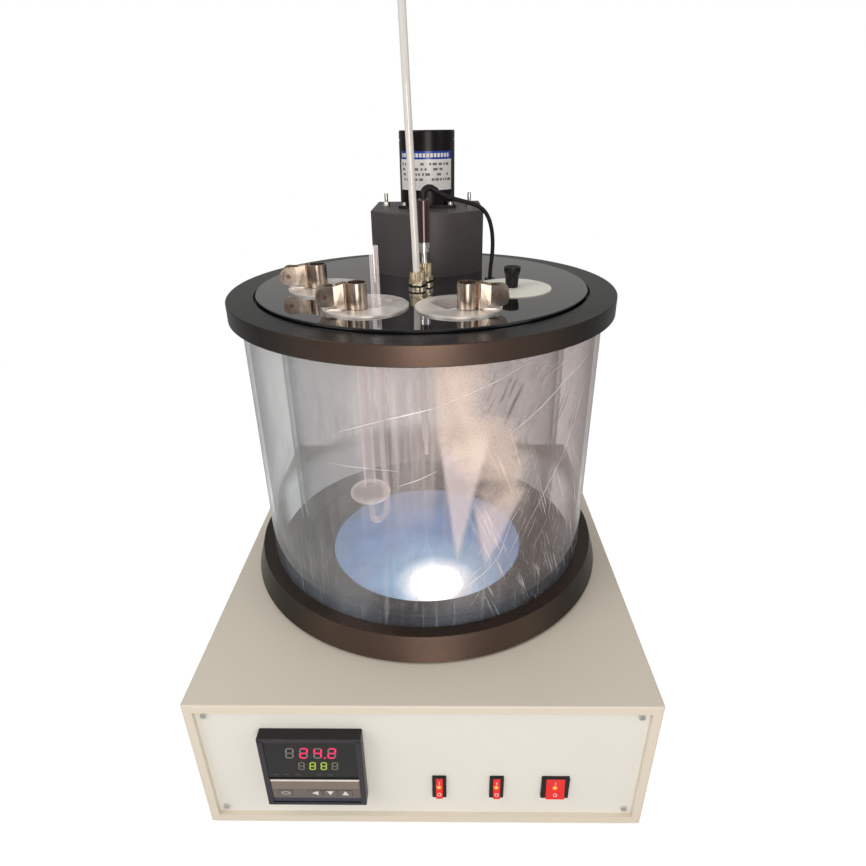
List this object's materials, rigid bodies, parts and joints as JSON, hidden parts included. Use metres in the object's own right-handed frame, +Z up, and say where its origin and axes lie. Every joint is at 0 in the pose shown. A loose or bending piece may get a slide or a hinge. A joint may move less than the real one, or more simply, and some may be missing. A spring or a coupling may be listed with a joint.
{
  "type": "kinematic viscosity bath with a capillary viscometer",
  "caption": "Kinematic viscosity bath: a double-walled glass jar on a white control box, with a black lid, stirrer motor, thermometer, sensor and a hanging glass capillary viscometer.",
  "frame": {"origin": "centre of the footprint at floor level, on the jar's axis", "axes": "+X to the right seen from the front, -Y towards the user at the control panel, +Z up"},
  "size_m": [0.434, 0.5097, 0.7619],
  "materials": {
    "case_paint": "satin",
    "panel_paint": "satin",
    "floor_steel": "satin",
    "foot_rubber": "matte",
    "gasket_rubber": "matte",
    "screw_steel": "satin",
    "black_plastic": "satin",
    "controller_plastic": "satin",
    "display_plastic": "gloss",
    "key_plastic": "satin",
    "switch_red": "gloss",
    "frosted_glass": "frosted",
    "lamp_metal": "polished",
    "jar_glass": "clear",
    "viscometer_glass": "clear",
    "ring_metal": "brushed",
    "lid_black": "gloss",
    "plate_steel": "satin",
    "clip_steel": "polished",
    "sleeve_rubber": "matte",
    "cover_plastic": "satin",
    "knob_plastic": "gloss",
    "thermometer_glass": "milky",
    "gland_metal": "satin",
    "probe_steel": "polished",
    "handle_plastic": "gloss",
    "cable_rubber": "matte",
    "housing_paint": "satin",
    "motor_paint": "satin",
    "shaft_steel": "polished"
  },
  "bodies": {
    "base": {"case_shell": "case_paint", "front_panel": "panel_paint", "back_panel": "panel_paint", "base_plate": "floor_steel", "feet": "foot_rubber", "panel_screws": "screw_steel", "power_inlet": "black_plastic", "controller": "controller_plastic", "display_window": "display_plastic", "control_switch_frame": "black_plastic", "light_switch_frame": "black_plastic", "power_switch_frame": "black_plastic", "lamp_window": "frosted_glass", "lamp": "lamp_metal", "seat_gasket": "gasket_rubber", "inner_jar": "jar_glass", "outer_cylinder": "jar_glass", "base_ring": "ring_metal", "top_ring": "ring_metal"},
    "lid_set": {"lid": "lid_black", "glands": "gland_metal", "thermometer": "thermometer_glass", "sensor_probe": "probe_steel", "sensor_handle": "handle_plastic", "sensor_boot": "cable_rubber", "sensor_cable": "cable_rubber", "cable_grommet": "black_plastic", "motor_housing": "housing_paint", "housing_studs": "screw_steel", "motor": "motor_paint", "motor_screws": "screw_steel", "heater": "shaft_steel"},
    "plate_1_set": {"plate_1": "plate_steel", "clip_1_bracket": "clip_steel", "clip_1_spring": "clip_steel"},
    "plate_2_set": {"plate_2": "plate_steel", "clip_2_bracket": "clip_steel", "clip_2_spring": "clip_steel", "viscometer": "viscometer_glass", "viscometer_sleeve": "sleeve_rubber"},
    "plate_3_set": {"plate_3": "plate_steel", "clip_3_bracket": "clip_steel", "clip_3_spring": "clip_steel"},
    "cover_set": {"cover_plate": "cover_plastic", "cover_knob": "knob_plastic"},
    "stirrer": {"stirrer_shaft": "shaft_steel", "propeller": "shaft_steel"},
    "clip_1_front": {"clip_1_front_leaf": "clip_steel"},
    "clip_1_back": {"clip_1_back_leaf": "clip_steel"},
    "clip_2_front": {"clip_2_front_leaf": "clip_steel"},
    "clip_2_back": {"clip_2_back_leaf": "clip_steel"},
    "clip_3_front": {"clip_3_front_leaf": "clip_steel"},
    "clip_3_back": {"clip_3_back_leaf": "clip_steel"},
    "control_switch": {"control_rocker": "switch_red"},
    "light_switch": {"light_rocker": "switch_red"},
    "power_switch": {"power_rocker": "switch_red"},
    "set_button": {"set_key": "key_plastic"},
    "shift_button": {"shift_key": "key_plastic"},
    "down_button": {"down_key": "key_plastic"},
    "up_button": {"up_key": "key_plastic"}
  },
  "joints": [
    {"name": "lid_lift", "type": "slide", "parent": "base", "child": "lid_set", "axis": [0, 0, 1], "range_m": [0, 0.3]},
    {"name": "plate_1_lift", "type": "slide", "parent": "lid_set", "child": "plate_1_set", "axis": [0, 0, 1], "range_m": [0, 0.06]},
    {"name": "plate_2_lift", "type": "slide", "parent": "lid_set", "child": "plate_2_set", "axis": [0, 0, 1], "range_m": [0, 0.24]},
    {"name": "plate_3_lift", "type": "slide", "parent": "lid_set", "child": "plate_3_set", "axis": [0, 0, 1], "range_m": [0, 0.06]},
    {"name": "cover_lift", "type": "slide", "parent": "lid_set", "child": "cover_set", "axis": [0, 0, 1], "range_m": [0, 0.06]},
    {"name": "stirrer_spin", "type": "hinge", "parent": "lid_set", "child": "stirrer", "pos_m": [0.005, 0.102, 0.45], "axis": [0, 0, 1], "continuous": true},
    {"name": "clip_1_front_open", "type": "hinge", "parent": "plate_1_set", "child": "clip_1_front", "pos_m": [-0.11629, -0.02415, 0.5115], "axis": [0, 0, -1], "range_deg": [0, 12], "stiffness_Nm_per_rad": 0.4},
    {"name": "clip_1_back_open", "type": "hinge", "parent": "plate_1_set", "child": "clip_1_back", "pos_m": [-0.11629, -0.02415, 0.5115], "axis": [0, 0, 1], "range_deg": [0, 12], "stiffness_Nm_per_rad": 0.4},
    {"name": "clip_2_front_open", "type": "hinge", "parent": "plate_2_set", "child": "clip_2_front", "pos_m": [-0.06726, -0.10769, 0.5115], "axis": [0, 0, -1], "range_deg": [0, 12], "stiffness_Nm_per_rad": 0.4},
    {"name": "clip_2_back_open", "type": "hinge", "parent": "plate_2_set", "child": "clip_2_back", "pos_m": [-0.06726, -0.10769, 0.5115], "axis": [0, 0, 1], "range_deg": [0, 12], "stiffness_Nm_per_rad": 0.4},
    {"name": "clip_3_front_open", "type": "hinge", "parent": "plate_3_set", "child": "clip_3_front", "pos_m": [0.05781, -0.10991, 0.5115], "axis": [0, 0, 1], "range_deg": [0, 12], "stiffness_Nm_per_rad": 0.4},
    {"name": "clip_3_back_open", "type": "hinge", "parent": "plate_3_set", "child": "clip_3_back", "pos_m": [0.05781, -0.10991, 0.5115], "axis": [0, 0, -1], "range_deg": [0, 12], "stiffness_Nm_per_rad": 0.4},
    {"name": "control_switch_tip", "type": "hinge", "parent": "base", "child": "control_switch", "pos_m": [0.0156, -0.245, 0.061], "axis": [1, 0, 0], "range_deg": [0, 20]},
    {"name": "light_switch_tip", "type": "hinge", "parent": "base", "child": "light_switch", "pos_m": [0.0715, -0.245, 0.061], "axis": [1, 0, 0], "range_deg": [0, 20]},
    {"name": "power_switch_tip", "type": "hinge", "parent": "base", "child": "power_switch", "pos_m": [0.1285, -0.245, 0.061], "axis": [1, 0, 0], "range_deg": [0, 20]},
    {"name": "set_key_press", "type": "slide", "parent": "base", "child": "set_button", "axis": [0, 1, 0], "range_m": [0, 0.0005], "stiffness_N_per_m": 800},
    {"name": "shift_key_press", "type": "slide", "parent": "base", "child": "shift_button", "axis": [0, 1, 0], "range_m": [0, 0.0005], "stiffness_N_per_m": 800},
    {"name": "down_key_press", "type": "slide", "parent": "base", "child": "down_button", "axis": [0, 1, 0], "range_m": [0, 0.0005], "stiffness_N_per_m": 800},
    {"name": "up_key_press", "type": "slide", "parent": "base", "child": "up_button", "axis": [0, 1, 0], "range_m": [0, 0.0005], "stiffness_N_per_m": 800}
  ],
  "couplings": [
    {"joint": "clip_1_back_open", "follows": "clip_1_front_open", "ratio": 1},
    {"joint": "clip_2_back_open", "follows": "clip_2_front_open", "ratio": 1},
    {"joint": "clip_3_back_open", "follows": "clip_3_front_open", "ratio": 1}
  ]
}
